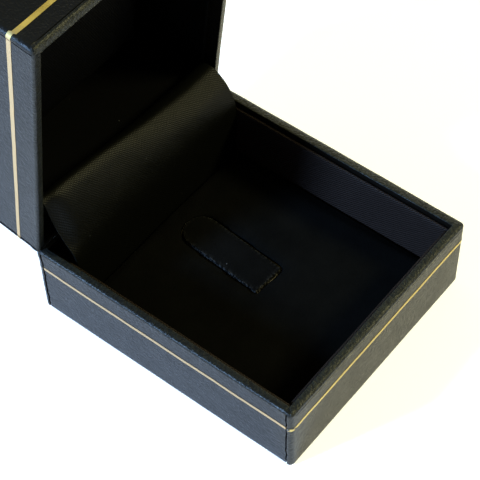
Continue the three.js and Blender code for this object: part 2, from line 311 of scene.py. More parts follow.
def makeLeatherGrain():
    # fine pebbled embossing with soft creases
    group, entry, leave = newGroup(
        "leatherGrain", {"Pebbles": 2600.0, "Creases": 420.0}, ("Height", "Tone")
    )
    vector = entry["Vector"]
    # the pebbles' places are pushed about so that they don't look like a net
    warp = addNode(group, "ShaderNodeTexNoise", {"Vector": vector, "Scale": 1400.0, "Detail": 1.0})
    pushSize = (0.0004, 0.0004, 0.0004)
    push = addNode(group, "ShaderNodeVectorMath", {0: warp.outputs["Color"], 1: pushSize},
                   operation="MULTIPLY")
    moved = addNode(group, "ShaderNodeVectorMath", {0: vector, 1: push.outputs[0]}, operation="ADD")
    place = {"Vector": moved.outputs[0], "Scale": entry["Pebbles"]}
    cells = addNode(group, "ShaderNodeTexVoronoi", place, feature="SMOOTH_F1")
    pebble = ramp(group, cells.outputs["Distance"], 0.1, 0.75, 1.0, 0.0)
    crease = noiseOf(group, vector, entry["Creases"], 4.0, 0.62)
    fromMiddle = compute(group, "ABSOLUTE", compute(group, "SUBTRACT", crease, 0.5))
    creaseLine = ramp(group, fromMiddle, 0.0, 0.05)
    fine = noiseOf(group, vector, 7000.0, 2.0)
    height = weigh(group, pebble, 0.55, creaseLine, 0.25)
    height = compute(group, "MULTIPLY_ADD", fine, 0.3, height)
    # the tone is partly random and partly the pebbles' height: painted shade in the hollows between the
    # pebbles
    return give(group, leave, Height=height, Tone=weigh(group, crease, 0.6, pebble, 0.4))


def makeTwillWeave():
    # twill cloth: diagonal ribs broken by the threads that cross them
    group, entry, leave = newGroup("twillWeave", {"Rib": 0.38, "Thread": 0.32}, ("Height", "Tone"))
    drift = noiseOf(group, entry["Vector"], 0.35, 2.0)
    split = addNode(group, "ShaderNodeSeparateXYZ", {"Vector": entry["Vector"]}).outputs
    cosLean, sinLean = 0.766, 0.643  # the ribs lean 40 degrees
    ribDrift, ribStagger = 0.22, 0.37

    def ridges(turns):
        wave = compute(group, "SINE", compute(group, "MULTIPLY", turns, math.pi))
        return compute(group, "ABSOLUTE", wave)

    across = weigh(group, split["X"], cosLean, split["Y"], sinLean)
    across = compute(group, "MULTIPLY_ADD", drift, ribDrift, across)
    along = weigh(group, split["X"], sinLean, split["Y"], -cosLean)
    ribTurns = compute(group, "DIVIDE", across, entry["Rib"])
    rib = ridges(ribTurns)
    step = compute(group, "MULTIPLY", compute(group, "FLOOR", ribTurns), ribStagger)
    thread = ridges(compute(group, "ADD", compute(group, "DIVIDE", along, entry["Thread"]), step))
    slub = noiseOf(group, entry["Vector"], 1.3, 3.0)
    height = weigh(group, thread, 0.45, rib, 0.55)
    # the tone follows the thread height too: painted shade between the threads
    return give(group, leave, Height=height, Tone=weigh(group, slub, 0.7, height, 0.5))


def makeVelvetPile():
    # short standing pile: fine tufts, with broad brushed patches
    group, entry, leave = newGroup("velvetPile", {"Tufts": 5200.0}, ("Height", "Tone"))
    tuft = noiseOf(group, entry["Vector"], entry["Tufts"], 2.0, 0.7)
    brushed = noiseOf(group, entry["Vector"], 130.0, 3.0, 0.6)
    clump = noiseOf(group, entry["Vector"], 1100.0, 2.0, 0.6)
    height = weigh(group, tuft, 0.6, clump, 0.4)
    tone = weigh(group, tuft, 0.5, brushed, 0.5)
    return give(group, leave, Height=height, Tone=ramp(group, tone, 0.3, 0.72))


def makeLint():
    # sparse pale specks of dust and fluff
    group, entry, leave = newGroup("lint", {"Spacing": 260.0, "Size": 0.05}, ("Mask",))
    place = {"Vector": entry["Vector"], "Scale": entry["Spacing"]}
    cells = addNode(group, "ShaderNodeTexVoronoi", place)
    core = compute(group, "MULTIPLY", entry["Size"], 0.4)
    speck = ramp(group, cells.outputs["Distance"], entry["Size"], core)
    pick = addNode(group, "ShaderNodeSeparateXYZ", {"Vector": cells.outputs["Color"]}).outputs["X"]
    kept = compute(group, "GREATER_THAN", pick, 0.72)
    return give(group, leave, Mask=compute(group, "MULTIPLY", speck, kept))


def makeEdgeWearAndGlint():
    # rubbed skin along marked edges, broken up so that it comes in flecks; the pale bluish flecks are
    # partly real rubbing and partly painted glints
    group, entry, leave = newGroup("edgeWearAndGlint", {"Edge": 0.0, "Amount": 0.5}, ("Mask",))
    patch = noiseOf(group, entry["Vector"], 320.0, 4.0, 0.65)
    fleck = noiseOf(group, entry["Vector"], 1900.0, 2.0, 0.7)
    broken = weigh(group, fleck, 0.5, patch, 0.5)
    limit = compute(group, "SUBTRACT", 0.78, compute(group, "MULTIPLY", entry["Amount"], 0.3))
    wornAndGlint = ramp(group, broken, limit, compute(group, "ADD", limit, 0.08))
    return give(group, leave, Mask=compute(group, "MULTIPLY", wornAndGlint, entry["Edge"], clamp=True))


def makeBrushing():
    # long fine scratches along X, with dull smudges
    group, entry, leave = newGroup("brushing", {}, ("Height", "Smudge"))
    scratches = noiseOf(group, entry["Vector"], 900.0, 3.0, 0.7, (0.06, 3.0, 3.0))
    smudge = noiseOf(group, entry["Vector"], 260.0, 4.0, 0.6)
    return give(group, leave, Height=scratches, Smudge=smudge)


def makeFibres():
    # matted fibres of board and paper
    group, entry, leave = newGroup("fibres", {"Scale": 1500.0}, ("Height", "Tone"))
    first = noiseOf(group, entry["Vector"], entry["Scale"], 4.0, 0.65, (0.25, 1.6, 1.0))
    second = noiseOf(group, entry["Vector"], entry["Scale"], 4.0, 0.65, (1.5, 0.3, 1.0))
    blot = noiseOf(group, entry["Vector"], 220.0, 3.0)
    height = weigh(group, first, 0.5, second, 0.5)
    return give(group, leave, Height=height, Tone=weigh(group, blot, 0.5, first, 0.5))


leatherGrain = makeLeatherGrain()
twillWeave = makeTwillWeave()
velvetPile = makeVelvetPile()
lint = makeLint()
edgeWearAndGlint = makeEdgeWearAndGlint()
brushing = makeBrushing()
fibres = makeFibres()
print("shared effects made:", len(bpy.data.node_groups))


# Finishes

def newFinish(name, **fixed):
    material = bpy.data.materials.new(name)
    material.use_nodes = True
    tree = material.node_tree
    shader = tree.nodes["Principled BSDF"]
    for label, value in fixed.items():
        shader.inputs[label.replace("_", " ")].default_value = value
    vector = addNode(tree, "ShaderNodeTexCoord").outputs["Object"]
    return material, tree, shader, vector


def readAttribute(tree, name):
    return addNode(tree, "ShaderNodeAttribute", attribute_name=name).outputs["Fac"]


def paint(tree, shader, factor, first, second):
    setInput(tree, shader.inputs["Base Color"], blendColours(tree, factor, first, second))


def roughen(tree, shader, value):
    setInput(tree, shader.inputs["Roughness"], value)


def addBump(tree, shader, height, distance):
    bump = addNode(tree, "ShaderNodeBump", {"Height": height, "Distance": distance, "Strength": 1.0})
    setInput(tree, shader.inputs["Normal"], bump.outputs[0])


leatheretteFinish = {
    "low": (0.0026, 0.003, 0.0036),
    "high": (0.006, 0.0066, 0.0079),
    # rim: paler olive tint for the rims, partly rubbed wear and partly painted sheen
    "rim": (0.015, 0.0162, 0.0125),
    # worn: pale bluish flecks, partly rubbed wear and partly painted glints
    "wornAndGlint": (0.12, 0.14, 0.16),
    "inside": (0.003, 0.0022, 0.0015),
    "roughness": (0.4, 0.27),
    "rimRoughness": 0.38,
    "grainDepth": 0.00005,
    "rimGrain": 1.2,
    "creaseDepth": 0.00007,
    "creaseScale": 2.6,
    "wearAndSheen": 0.3,
}


def makeLeatherette():
    look = leatheretteFinish
    material, tree, shader, vector = newFinish("leatherette", IOR=1.27)
    grain = useGroup(tree, leatherGrain, {"Vector": vector})
    edge = readAttribute(tree, "edge")
    rubbingAndGlint = {"Edge": edge, "Vector": vector, "Amount": look["wearAndSheen"]}
    wornAndGlint = useGroup(tree, edgeWearAndGlint, rubbingAndGlint)["Mask"]
    body = blendColours(tree, grain["Tone"], look["low"], look["high"])
    # painted sheen: the rims are tinted paler olive, most on the pebble tops; partly rubbed wear as
    # well
    rimSheenAndRubbing = compute(tree, "MULTIPLY", edge, ramp(tree, grain["Tone"], 0.3, 0.7, 0.3, 1.0))
    body = blendColours(tree, rimSheenAndRubbing, body, look["rim"])
    body = blendColours(tree, readAttribute(tree, "inside"), body, look["inside"])
    # pale bluish flecks on the edges: partly rubbed wear, partly painted glints
    paint(tree, shader, wornAndGlint, body, look["wornAndGlint"])
    dry = ramp(tree, grain["Tone"], 0.2, 0.8, *look["roughness"])
    roughen(tree, shader, blendValues(tree, edge, dry, look["rimRoughness"]))
    # fine creases run across the rim, where the sheet was turned over the wall
    alongRim = addNode(tree, "ShaderNodeCombineXYZ", {"X": readAttribute(tree, "run")}).outputs[0]
    pleats = noiseOf(tree, alongRim, look["creaseScale"], 3.0, 0.65)
    pleats = compute(tree, "MULTIPLY", pleats, compute(tree, "MULTIPLY", edge, look["creaseDepth"]))
    extra = look["rimGrain"] * look["grainDepth"]
    depth = compute(tree, "MULTIPLY_ADD", edge, extra, look["grainDepth"])
    addBump(tree, shader, compute(tree, "MULTIPLY_ADD", grain["Height"], depth, pleats), 1.0)
    return material


foilFinish = {
    "bright": (1.0, 0.8, 0.27),
    "dull": (0.82, 0.63, 0.19),
    # paler foil for the left side: a painted reflection of the cool light there
    "paleLitSide": (0.5, 0.36, 0.2),
    "thin": (0.5, 0.39, 0.17),
    "bare": (0.03, 0.028, 0.026),
    "roughness": (0.4, 0.55),
    "thinRoughness": 0.65,
    "grainDepth": 0.00003,
    "lostFrom": 0.67,
    "lostTo": 0.73,
    "cornerLoss": 0.2,
}


def makeFoil():
    look = foilFinish
    material, tree, shader, vector = newFinish("goldFoil")
    grain = useGroup(tree, leatherGrain, {"Vector": vector})
    spread = noiseOf(tree, vector, 700.0, 4.0, 0.7)
    rubbed = compute(tree, "MULTIPLY_ADD", readAttribute(tree, "rub"), look["cornerLoss"], spread)
    missing = ramp(tree, rubbed, look["lostFrom"], look["lostTo"])
    tone = noiseOf(tree, vector, 260.0, 3.0)
    dull = readAttribute(tree, "dull")
    colour = blendColours(tree, tone, look["dull"], look["bright"])
    colour = blendColours(tree, dull, colour, look["thin"])
    # painted reflection: the foil on the left side is paler, for the cool light it reflects there
    colour = blendColours(tree, readAttribute(tree, "paleLitSide"), colour, look["paleLitSide"])
    paint(tree, shader, missing, colour, look["bare"])
    setInput(tree, shader.inputs["Metallic"], blendValues(tree, missing, 1.0, 0.0))
    polish = ramp(tree, tone, 0.25, 0.75, *look["roughness"])
    roughen(tree, shader, blendValues(tree, dull, polish, look["thinRoughness"]))
    addBump(tree, shader, grain["Height"], look["grainDepth"])
    return material


satinFinishes = {
    "liningSatin": {"low": (0.0012, 0.001, 0.0009), "high": (0.018, 0.0118, 0.0098),
                    "depth": 0.00012, "roughness": (0.6, 0.4), "gloss": 0.15},
    # the lid's satin is a darker copy of the lining satin: painted shade for the inside of the lid
    "lidShadedSatin": {"low": (0.0003, 0.0003, 0.0003), "high": (0.0016, 0.0016, 0.0018),
                 "depth": 0.00003, "roughness": (0.6, 0.48), "gloss": 0.05},
    "flapSatin": {"low": (0.0004, 0.0004, 0.0003), "high": (0.0024, 0.0026, 0.002),
                  "depth": 0.00005, "roughness": (0.48, 0.36), "gloss": 0.14},
}


def makeSatin(name):
    look = satinFinishes[name]
    material, tree, shader, vector = newFinish(name, IOR=1.4, Specular_IOR_Level=look["gloss"])
    cloth = addNode(tree, "ShaderNodeUVMap", uv_map="cloth").outputs[0]
    weave = useGroup(tree, twillWeave, {"Vector": cloth})
    dust = {"Vector": vector, "Spacing": 420.0, "Size": 0.06}
    specks = useGroup(tree, lint, dust)
    # painted shade: the ground between the threads is darker
    lit = ramp(tree, weave["Height"], 0.15, 0.9, 0.3, 1.25)
    threads = compute(tree, "MULTIPLY", weave["Tone"], lit)
    body = blendColours(tree, threads, look["low"], look["high"])
    paint(tree, shader, specks["Mask"], body, (0.03, 0.032, 0.036))
    roughen(tree, shader, ramp(tree, weave["Height"], 0.1, 0.9, *look["roughness"]))
    addBump(tree, shader, weave["Height"], look["depth"])
    return material


velvetFinishes = {
    "padVelvet": {"low": (0.0006, 0.0006, 0.0006), "high": (0.0026, 0.0026, 0.0024), "sheen": 0.0},
    "tongueVelvet": {"low": (0.0006, 0.0006, 0.0006), "high": (0.0028, 0.0028, 0.0028),
                     "sheen": 0.002},
    "pileDepth": 0.00012,
}


def makeVelvet(name):
    look = velvetFinishes[name]
    material, tree, shader, vector = newFinish(
        name, IOR=1.4, Specular_IOR_Level=0.06, Roughness=0.95, Sheen_Weight=look["sheen"],
        Sheen_Roughness=0.5, Sheen_Tint=(0.8, 0.8, 0.85, 1),
    )
    pile = useGroup(tree, velvetPile, {"Vector": vector})
    specks = useGroup(tree, lint, {"Vector": vector, "Spacing": 330.0, "Size": 0.05})
    body = blendColours(tree, pile["Tone"], look["low"], look["high"])
    # paler loose fibres along a cut edge
    strands = ramp(tree, noiseOf(tree, vector, 2400.0, 2.0, 0.7), 0.45, 0.62)
    loose = compute(tree, "MULTIPLY", readAttribute(tree, "fluff"), strands)
    body = blendColours(tree, loose, body, (0.03, 0.03, 0.03))
    paint(tree, shader, specks["Mask"], body, (0.05, 0.052, 0.06))
    addBump(tree, shader, pile["Height"], velvetFinishes["pileDepth"])
    return material


def makeMoulding():
    # black moulded shell: spark-eroded texture, slightly paler where it flowed
    material, tree, shader, vector = newFinish("mouldedShell", IOR=1.5)
    spark = noiseOf(tree, vector, 2600.0, 2.0, 0.6)
    flow = noiseOf(tree, vector, 60.0, 3.0, 0.5, (1.0, 1.0, 4.0))
    paint(tree, shader, flow, (0.008, 0.008, 0.009), (0.02, 0.02, 0.022))
    roughen(tree, shader, ramp(tree, flow, 0.3, 0.7, 0.62, 0.46))
    addBump(tree, shader, spark, 0.00004)
    return material


boardFinishes = {
    "greyBoard": {"low": (0.11, 0.1, 0.085), "high": (0.2, 0.18, 0.15),
                  "depth": 0.00006, "scale": 1500.0},
    "blackPaper": {"low": (0.006, 0.006, 0.007), "high": (0.018, 0.018, 0.02),
                   "depth": 0.00003, "scale": 2600.0},
}


def makeBoard(name):
    look = boardFinishes[name]
    material, tree, shader, vector = newFinish(name, Roughness=0.92, Specular_IOR_Level=0.2)
    mat = useGroup(tree, fibres, {"Vector": vector, "Scale": look["scale"]})
    paint(tree, shader, ramp(tree, mat["Tone"], 0.3, 0.7), look["low"], look["high"])
    addBump(tree, shader, mat["Height"], look["depth"])
    return material


def makeFoam():
    material, tree, shader, vector = newFinish("foamSheet", Roughness=1.0, Specular_IOR_Level=0.1)
    place = {"Vector": vector, "Scale": 2400.0}
    cells = addNode(tree, "ShaderNodeTexVoronoi", place)
    pore = ramp(tree, cells.outputs["Distance"], 0.05, 0.45)
    # painted shade: the pores are darker where they are hollow
    paint(tree, shader, pore, (0.006, 0.006, 0.007), (0.03, 0.03, 0.033))
    addBump(tree, shader, pore, 0.00015)
    return material


def makeSteel():
    material, tree, shader, vector = newFinish("plainSteel", Metallic=1.0)
    marks = useGroup(tree, brushing, {"Vector": vector})
    paint(tree, shader, marks["Smudge"], (0.3, 0.31, 0.33), (0.55, 0.56, 0.58))
    roughen(tree, shader, ramp(tree, marks["Smudge"], 0.3, 0.7, 0.26, 0.46))
    addBump(tree, shader, marks["Height"], 0.00001)
    return material


def makeFloorFinish():
    material, tree, shader, vector = newFinish(
        "palePaper", Roughness=0.9, Specular_IOR_Level=0.1, Emission_Color=(1, 1, 1, 1),
        Emission_Strength=0.5,
    )
    tone = noiseOf(tree, vector, 12.0, 2.0)
    paint(tree, shader, tone, (0.93, 0.93, 0.93), (0.95, 0.95, 0.95))
    return material


leatherette = makeLeatherette()
goldFoil = makeFoil()
liningSatin = makeSatin("liningSatin")
lidShadedSatin = makeSatin("lidShadedSatin")
flapSatin = makeSatin("flapSatin")
padVelvet = makeVelvet("padVelvet")
tongueVelvet = makeVelvet("tongueVelvet")
mouldedShell = makeMoulding()
greyBoard = makeBoard("greyBoard")
blackPaper = makeBoard("blackPaper")
foamSheet = makeFoam()
plainSteel = makeSteel()
print("finishes made:", len(bpy.data.materials))


# Leatherette covers, with the gold line laid on them

coverSizes = {
    "rimWidth": 1.5,
    "turnInDepth": 3.0,
    "turnUnder": 4.5,
    "cornerRadius": 0.8,
    "lean": 0.05,
    "wall": 0.36,
    "beadRound": 0.5,
    "mouthRound": 0.22,
    "backRound": 0.1,
    "floorRound": 0.35,
    "step": 1.3,
    "seed": {"base": 3.0, "lid": 11.0},
    # the sloping back rim and its gap for the hinge knuckles
    "axisInset": 0.8,
    "bevelAngle": math.radians(47.5),
    "notchHalf": 15.3,
    "notchDepth": 1.15,
    "closeGap": 0.12,
    # the skin's own shape
    "bow": 0.3,
    "waver": 0.035,
    "frontDome": {"base": 0.16, "lid": 0.5},
    "rightDome": 0.66,
    "rightPush": 0.4,
    "domeFade": 2.0,
    "grooveFromRim": 0.78,
    "grooveDepth": 0.2,
    # the overlap at each corner
    "seamFromCorner": 1.08,
    "seamLift": 0.07,
    "seamCrack": 0.32,
    "seamHalf": 0.1,
    "seamWander": 0.22,
    # where it is worn, and where sheen and glints are painted: less on the left rim, most at the
    # corners by the gold line
    "rimBand": 0.8,
    "rimWearAndSheen": {"left": 0.65, "elsewhere": 1.3},
    "cornerReach": 1.2,
    "cornerWearAndGlint": 0.35,
    "goldReach": 0.9,
}
goldSizes = {
    "width": 0.64, "lift": 0.01, "thickness": 0.04, "wander": 0.07, "stepAt": 21.8, "step": 0.14,
    "stepBlend": 0.15, "sideDrop": 0.4, "thinAtFront": 0.8, "seed": {"base": 21.0, "lid": 31.0},
}


def insetTo(bm, face, width, roundLeft=0.05):
    # moves a face's border in by width; past the corner radius the rest is done by scaling
    sizes = coverSizes
    first = min(width, sizes["cornerRadius"] - roundLeft)
    bmesh.ops.inset_region(bm, faces=[face], thickness=first, use_even_offset=True)
    rest = Vector([(h - width) / (h - first) for h in boxHalf]).to_3d()
    rest.z = 1
    bmesh.ops.scale(bm, vec=rest, verts=face.verts[:])
    return face


def coverSkin(tray):
    sizes = coverSizes
    height = tray["height"]
    low = Vector((-boxHalf.x, -boxHalf.y, tray["floorLow"]))
    high = Vector((boxHalf.x, boxHalf.y, height))
    bm = cubeBetween(low, high)
    upright = [e for e in bm.edges if abs(e.verts[0].co.z - e.verts[1].co.z) > 1]
    roundEdges(bm, upright, sizes["cornerRadius"], 6)
    # the mouth is let in and turned down inside the wall
    mouth = insetTo(bm, next(f for f in bm.faces if f.normal.z > 0.9), sizes["rimWidth"])
    moved = bmesh.ops.extrude_face_region(bm, geom=[mouth])["geom"]
    sunk = [v for v in moved if isinstance(v, bmesh.types.BMVert)]
    bmesh.ops.translate(bm, verts=sunk, vec=(0, 0, -sizes["turnInDepth"]))
    bottom = [f for f in moved if isinstance(f, bmesh.types.BMFace)]
    bmesh.ops.delete(bm, geom=bottom + [mouth], context="FACES")
    if tray["openFloor"]:
        under = insetTo(bm, next(f for f in bm.faces if f.normal.z < -0.9), sizes["turnUnder"])
        bmesh.ops.delete(bm, geom=[under], context="FACES")
    # the back rim slopes away from the hinge axis
    slope = sizes["bevelAngle"]
    geom = bm.verts[:] + bm.edges[:] + bm.faces[:]
    cut = bmesh.ops.bisect_plane(
        bm, geom=geom, dist=1e-4, clear_outer=True,
        plane_co=(0, boxHalf.y - sizes["axisInset"], height),
        plane_no=(0, math.sin(slope), math.cos(slope)),
    )["geom_cut"]
    border = [e for e in cut if isinstance(e, bmesh.types.BMEdge)]
    bmesh.ops.contextual_create(bm, geom=border)
    bm.normal_update()
    roundCoverEdges(bm, tray)
    cutCover(bm, tray)
    markCover(bm, tray)
    dressCover(bm, tray)
    return bm


def pastOutline(co):
    # how far a point is past the box's outline, across and along
    return Vector((abs(co.x) - boxHalf.x, abs(co.y) - boxHalf.y))


def insideMouth(co):
    edge = coverSizes["rimWidth"] + 0.02
    return abs(co.x) < boxHalf.x - edge + 0.05 and abs(co.y) < boxHalf.y - edge + 0.05


def roundCoverEdges(bm, tray):
    sizes = coverSizes
    height, low = tray["height"], tray["floorLow"]
    backY = boxHalf.y - sizes["axisInset"]

    def sharpEdges(test):
        return [
            e for e in bm.edges
            if e.is_manifold and e.calc_face_angle(0) > 0.5 and all(test(v.co) for v in e.verts)
        ]

    def onOuterRim(co):
        return co.z > height - 1.2 and not insideMouth(co)

    # a round bead on three sides, and a crisp edge where the back rim slopes
    bead = [e for e in sharpEdges(onOuterRim) if sum(v.co.y for v in e.verts) / 2 < backY - 0.02]
    roundEdges(bm, bead, sizes["beadRound"], 6)
    inner = sharpEdges(lambda co: co.z > height - 0.01 and insideMouth(co))
    roundEdges(bm, inner, sizes["mouthRound"], 4)
    back = sharpEdges(lambda co: onOuterRim(co) and co.y > backY - 0.02)
    roundEdges(bm, back, sizes["backRound"], 2)
    foot = sharpEdges(lambda co: co.z < low + 0.01 and max(pastOutline(co)) > -1.4)
    roundEdges(bm, foot, sizes["floorRound"], 3)


def cutCover(bm, tray):
    sizes = coverSizes
    height, low = tray["height"], tray["floorLow"]
    gold = height - tray["goldFromRim"]
    half = goldSizes["width"] / 2
    seam = boxHalf.y - sizes["seamFromCorner"]
    groove = height - sizes["grooveFromRim"]
    cutAcross(bm, 0, evenSteps(-boxHalf.x + 1.5, boxHalf.x - 1.5, sizes["step"]))
    cutAcross(bm, 1, evenSteps(-boxHalf.y + 1.6, boxHalf.y - 1.6, sizes["step"]))
    cutAcross(bm, 1, [s * (seam + d) for s in (-1, 1) for d in (-0.17, -0.07, 0.07, 0.17)])
    cutAcross(bm, 2, [groove + d for d in (-0.24, -0.1, 0, 0.06)])
    cutAcross(bm, 2, evenSteps(low, height, 1.0))
    cutAcross(bm, 2, [gold - half, gold, gold + half])
    cutAcross(bm, 0, [-sizes["notchHalf"], sizes["notchHalf"]])
    cutAcross(bm, 2, [height - sizes["notchDepth"]])
    # a gap in the back rim for the hinge knuckles
    gap = [
        f for f in bm.faces
        if abs(f.calc_center_median().x) < sizes["notchHalf"]
        and f.calc_center_median().y > boxHalf.y - 2.3
        and f.calc_center_median().z > height - sizes["notchDepth"]
    ]
    bmesh.ops.delete(bm, geom=gap, context="FACES")


def markCover(bm, tray):
    # attributes for the finish: worn edges that also carry painted sheen and glints, the way along the
    # rim, and the part turned in
    sizes = coverSizes
    height = tray["height"]
    gold = height - tray["goldFromRim"]
    edge = bm.verts.layers.float.new("edge")
    run = bm.verts.layers.float.new("run")
    inside = bm.verts.layers.float.new("inside")
    for v in bm.verts:
        co = v.co
        outline = pastOutline(co)
        corner = fade(max(-outline.x, 0), sizes["cornerReach"])
        corner *= fade(max(-outline.y, 0), sizes["cornerReach"])
        # painted highlight: the corner mark is strongest at the gold line's height
        atGold = math.exp(-((co.z - gold) / sizes["goldReach"]) ** 2)
        corner *= sizes["cornerWearAndGlint"] + (1 - sizes["cornerWearAndGlint"]) * atGold
        alongSide = outline.x > outline.y
        # painted sheen: the rim mark is weaker on the left side
        onLeft = alongSide and co.x * tray["right"] < 0
        wearAndSheen = sizes["rimWearAndSheen"]["left" if onLeft else "elsewhere"]
        v[edge] = min(1.0, fade(abs(co.z - height), sizes["rimBand"]) * wearAndSheen + corner)
        v[run] = co.y if alongSide else co.x + 100
        if insideMouth(co) and co.z < height - 0.02:
            v[edge] = 0.0
            v[inside] = 1.0


def skinShift(co, tray):
    # lean and bow of the walls, the domed rims, and the corner seams
    sizes = coverSizes
    height = tray["height"]
    outline = pastOutline(co)
    lean = sizes["lean"] * (1 - co.z / height)
    shift = Vector((-math.copysign(lean, co.x), -math.copysign(lean, co.y), 0))
    if max(outline) <= -0.6 or insideMouth(co):
        return shift
    alongY = 1 - (co.y / boxHalf.y) ** 2
    drop = 0.0
    if co.x * tray["right"] > 0:
        push = (sizes["rightPush"] + sizes["bow"] * alongY) * co.z / height
        shift.x += math.copysign(push, co.x) * min(1, fade(-outline.x, sizes["rimWidth"]))
        dome = sizes["rightDome"] * (0.5 + 0.5 * alongY)
        drop = dome * fade(-outline.x, sizes["rimWidth"]) ** 2
    if co.y < 0:
        dome = sizes["frontDome"][tray["body"]]
        drop = max(drop, dome * fade(-outline.y, sizes["rimWidth"]) ** 2)
    shift.z -= drop * fade(height - co.z, sizes["domeFade"])
    if outline.x > -0.3 and co.z < height - 0.5:
        pastSeam = abs(co.y) - (boxHalf.y - sizes["seamFromCorner"])
        if abs(pastSeam) < sizes["seamHalf"]:
            shift.x -= math.copysign(sizes["seamCrack"], co.x)
        elif pastSeam > 0:
            shift.x += math.copysign(sizes["seamLift"], co.x)
        if abs(pastSeam) < 2 * sizes["seamHalf"]:
            seed = sizes["seed"][tray["body"]] + 9
            shift.y += sizes["seamWander"] * swell((0, 0, co.z), 1.3, seed)
    return shift


def dressCover(bm, tray):
    sizes = coverSizes
    height = tray["height"]
    groove = height - sizes["grooveFromRim"]
    seed = sizes["seed"][tray["body"]]
    bm.normal_update()
    placed = []
    for v in bm.verts:
        co, normal = v.co.copy(), v.normal.copy()
        shift = skinShift(co, tray)
        nearHinge = co.y > boxHalf.y - 1.4 and co.z > height - 1.2
        if nearHinge and abs(co.x) > sizes["notchHalf"]:
            # thicker along the hinge, where the two halves come close
            shift += normal * sizes["closeGap"]
        else:
            wave = 0.4 + swell(co, 6.0, seed) + 0.5 * swell(co, 2.2, seed + 5)
            shift += normal * sizes["waver"] * wave
        onFront = co.y < -boxHalf.y + 0.3 and abs(co.x) < boxHalf.x - 0.9
        if onFront and groove - 0.12 < co.z < groove + 0.01:
            shift.y += sizes["grooveDepth"]
        placed.append((v, co + shift))
    moveTo(placed)


def markGold(v, tray):
    # where the foil is thin or rubbed off, and the paler left side, a painted reflection of the cool
    # light there
    atFront = v.co.y < 0.6 - boxHalf.y
    onLeft = v.co.x * tray["right"] < 0.6 - boxHalf.x
    strip = coverSizes["seamFromCorner"]
    atCorner = abs(v.co.y) > boxHalf.y - strip and abs(v.co.x) > boxHalf.x - strip + 0.2
    paleLitSide = 1.0 if onLeft and not atFront else 0.0
    if tray["body"] == "base":
        return goldSizes["thinAtFront"] * atFront, paleLitSide, float(atCorner)
    return float(atCorner), paleLitSide, 0.0


def goldBand(bm, tray):
    # lifts a copy of the wall between the line's two edges
    sizes = goldSizes
    middle = tray["height"] - tray["goldFromRim"]
    keep = sizes["width"] / 2 + 0.12
    waste = [
        f for f in bm.faces
        if any(abs(v.co.z - middle) > keep for v in f.verts)
        or max(pastOutline(f.calc_center_median())) < -1.2
    ]
    bmesh.ops.delete(bm, geom=waste, context="FACES")
    loose = [v for v in bm.verts if not v.link_faces]
    bmesh.ops.delete(bm, geom=loose, context="VERTS")
    bm.normal_update()
    seed = sizes["seed"][tray["body"]]
    layers = [bm.verts.layers.float.new(name) for name in ("dull", "paleLitSide", "rub")]
    moves = []
    for v in bm.verts:
        for layer, value in zip(layers, markGold(v, tray)):
            v[layer] = value
        # the line widens towards the front, on the side away from the rim
        frontShare = 0.5 - v.co.y / boxHalf.y / 2
        growth = (tray["goldGrowth"] - 1) * frontShare
        rise = growth * min(0, v.co.z - middle) + tray["goldRise"]
        if v.co.x > boxHalf.x - 0.6 and tray["body"] == "lid":
            rise -= sizes["sideDrop"] * frontShare
        side = Vector((v.co.x, v.co.y, 0))
        rise += sizes["wander"] * (0.7 * swell(side, 9.0, seed) + 0.5 * swell(side, 2.5, seed + 2))
        if v.co.x < 1 - boxHalf.x:
            # a small step on one side, where the tool was set down again
            past = 1 / (1 + math.exp(-(v.co.y - sizes["stepAt"]) / sizes["stepBlend"]))
            rise += sizes["step"] * (past - 0.5)
        lift = v.normal * (sizes["lift"] + sizes["thickness"])
        moves.append((v, v.co + lift + Vector((0, 0, rise))))
    moveTo(moves)
    return bm


for half, tray in trays.items():
    skin = coverSkin(tray)
    band = goldBand(skin.copy(), tray)
    finishPiece(half + "_cover", skin, leatherette, tray["body"],
                [half + "_wrap"], tray["place"], wall=coverSizes["wall"])
    finishPiece(half + "_gold_foil", band, goldFoil, tray["body"],
                [half + "_gold_line"], tray["place"], wall=goldSizes["thickness"])
    print(half, "cover and gold line made")


# Satin covered lining strips

liningSizes = {"topRound": 0.3, "edgeRound": 0.12, "step": 1.6, "puff": 0.05}
liningSides = {"base": ("left", "right", "front"), "lid": ("left", "right", "front", "back")}


def liningStrip(node, tray):
    sizes = liningSizes
    low, high = nodeBox(node, tray["place"])
    bm = cubeBetween(low, high)
    top = [e for e in bm.edges if all(v.co.z > high.z - 0.01 for v in e.verts)]
    roundEdges(bm, top, sizes["topRound"], 4)
    rest = [e for e in bm.edges if e.calc_face_angle(0) > 1]
    roundEdges(bm, rest, sizes["edgeRound"], 2)
    for axis in range(3):
        if high[axis] - low[axis] > 3:
            cutAcross(bm, axis, evenSteps(low[axis], high[axis], sizes["step"]))
    bm.normal_update()
    seed = sum(ord(c) for c in node) % 37
    moves = []
    for v in bm.verts:
        move = sizes["puff"] * (swell(v.co, 5.0, seed) - 0.5)
        moves.append((v, v.co + v.normal * move))
    moveTo(moves)
    mapCloth(bm)
    return bm


for half, sides in liningSides.items():
    tray = trays[half]
    # the lid's linings take the darker satin: painted shade
    satin = liningSatin if half == "base" else lidShadedSatin
    for side in sides:
        node = half + "_lining_" + side
        finishPiece(node + "_satin", liningStrip(node, tray), satin, tray["body"],
                    [node], tray["place"])
    print(half, "linings made:", len(sides))


# Padded pieces, puffed up by a cloth simulation at twenty times their size

puffScale = 20


def cushionFrom(name, bm, voxel):
    bm.transform(Matrix.Scale(puffScale / 1000, 4))
    obj = addObject(name, meshFrom(name, bm))
    remesh = obj.modifiers.new("even", "REMESH")
    remesh.mode = "VOXEL"
    remesh.voxel_size = voxel * puffScale / 1000
    return applyModifiers(obj)


